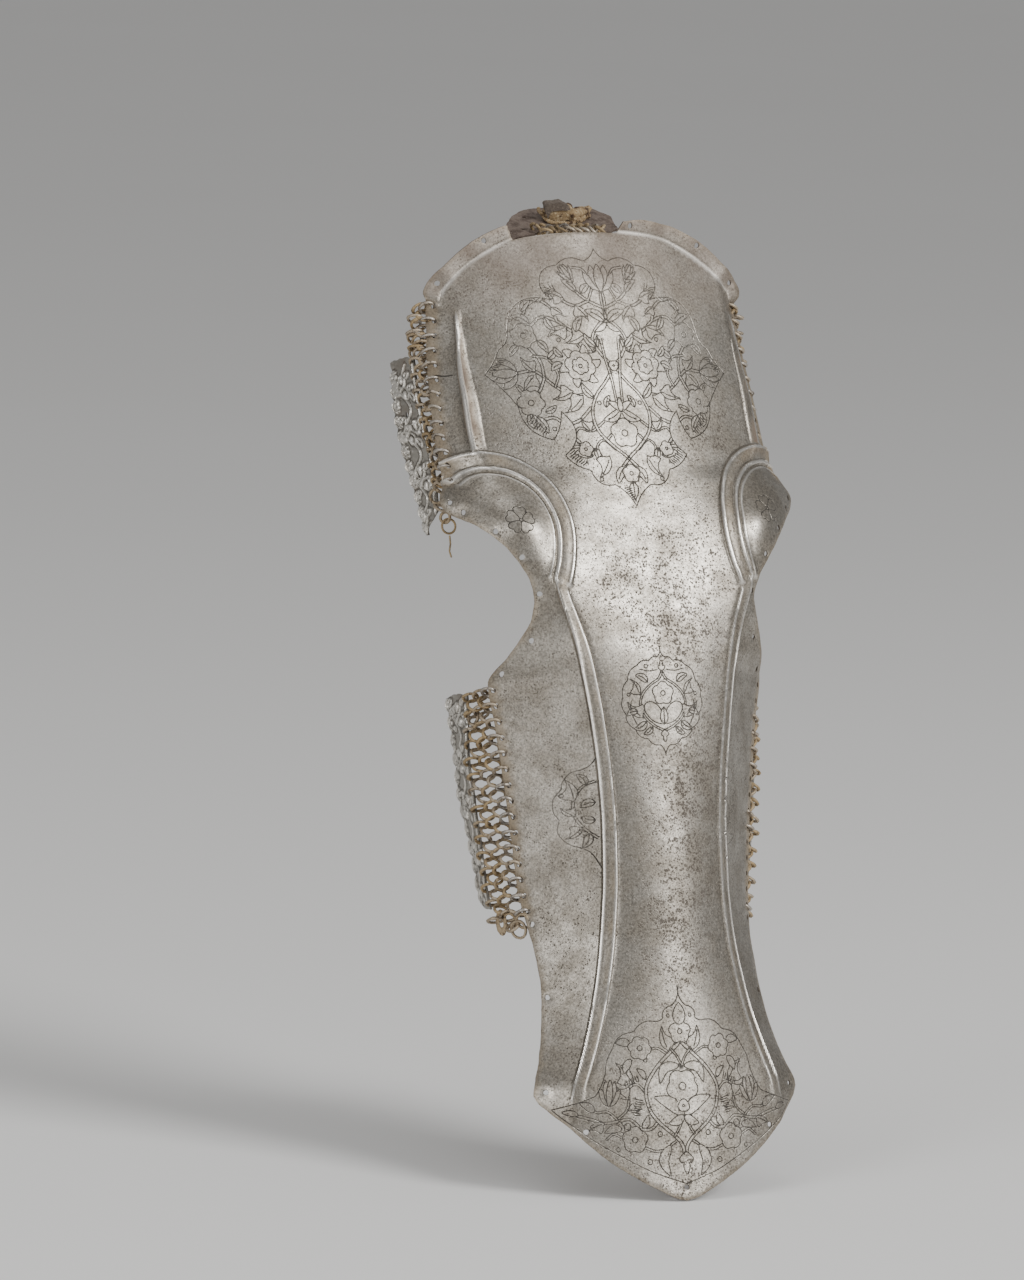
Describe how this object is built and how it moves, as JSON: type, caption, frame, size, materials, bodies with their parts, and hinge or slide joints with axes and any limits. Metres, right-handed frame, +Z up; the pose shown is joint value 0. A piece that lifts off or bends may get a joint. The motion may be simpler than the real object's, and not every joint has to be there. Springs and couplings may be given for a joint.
{
  "type": "chanfron",
  "caption": "Horse's face armour: a long bent steel plate with raised ribs, arched eye openings and turned-up ear flanges, edged with mail and embossed strips.",
  "frame": {"origin": "the brow mount: the middle of the plate's inner face on the forehead, where the horse's brow bears it", "axes": "+Z up, +Y back towards the horse, +X to the viewer's right; the nose line leans back 12 degrees from +Z"},
  "size_m": [0.2444, 0.2616, 0.6005],
  "materials": {
    "plate_steel": "old hammered steel, worn bright, with brown pitting and engraved lines",
    "embossed_steel": "embossed steel, dark in the recesses",
    "ring_iron": "oxidised iron wire",
    "brown_iron": "brown patinated iron",
    "rust_crust": "crusted rust"
  },
  "bodies": {
    "root": {"face_plate": "plate_steel", "strip_lower_left": "embossed_steel", "strip_lower_right": "embossed_steel", "strip_upper_left": "embossed_steel", "strip_upper_right": "embossed_steel", "mail_lower_left": "ring_iron", "mail_lower_right": "ring_iron", "mail_upper_left": "ring_iron", "mail_upper_right": "ring_iron", "poll_plate": "brown_iron", "poll_block": "rust_crust", "poll_mail": "ring_iron", "loose_ring": "ring_iron", "loose_wire": "ring_iron"}
  },
  "joints": []
}
